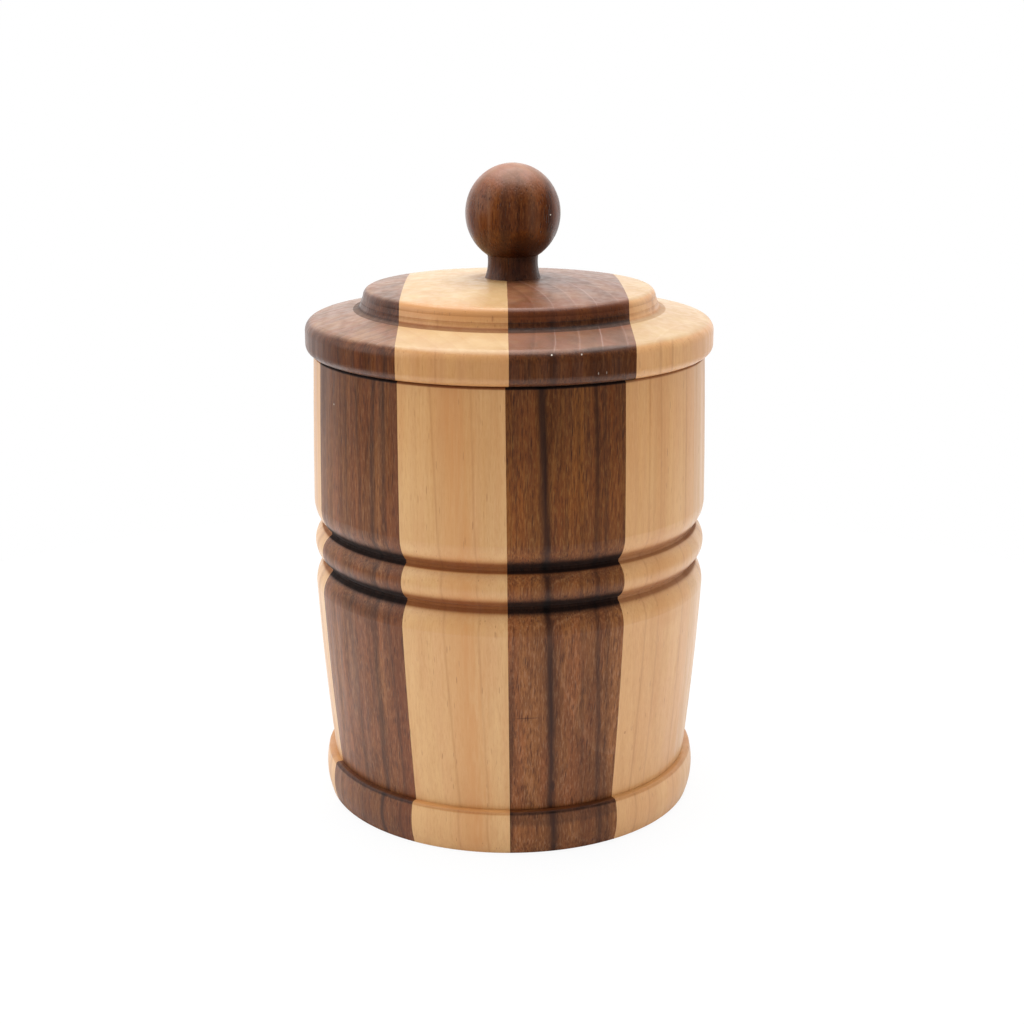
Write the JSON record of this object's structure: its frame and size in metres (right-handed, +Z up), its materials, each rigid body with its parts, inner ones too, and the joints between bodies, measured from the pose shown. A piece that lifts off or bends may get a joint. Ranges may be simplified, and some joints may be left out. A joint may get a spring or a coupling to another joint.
{
  "type": "lidded wooden jar",
  "caption": "Turned kitchen jar of dark and pale glued staves, with a grooved band, a foot ring and a loose stepped lid with a ball knob.",
  "frame": {"origin": "centre of the foot ring, on the surface that the jar stands on", "axes": "+Z up along the jar's turning axis, -Y towards the side with the four stave joints that show, +X to that side's right"},
  "size_m": [0.113, 0.113, 0.1794],
  "materials": {
    "walnut": "satin oil",
    "maple": "satin oil"
  },
  "bodies": {
    "jar": {"wall_stave_01": "walnut", "wall_stave_02": "maple", "wall_stave_03": "walnut", "wall_stave_04": "maple", "wall_stave_05": "maple", "wall_stave_06": "walnut", "wall_stave_07": "maple", "wall_stave_08": "walnut", "wall_stave_09": "maple", "wall_stave_10": "walnut", "wall_stave_11": "maple", "jar_floor": "walnut"},
    "lid": {"lid_board_1": "walnut", "lid_board_2": "maple", "lid_board_3": "walnut", "lid_board_4": "maple", "lid_knob": "walnut"}
  },
  "joints": [
    {"name": "lid_lift", "type": "slide", "parent": "jar", "child": "lid", "axis": [0, 0, 1], "range_m": [0, 0.12]}
  ]
}
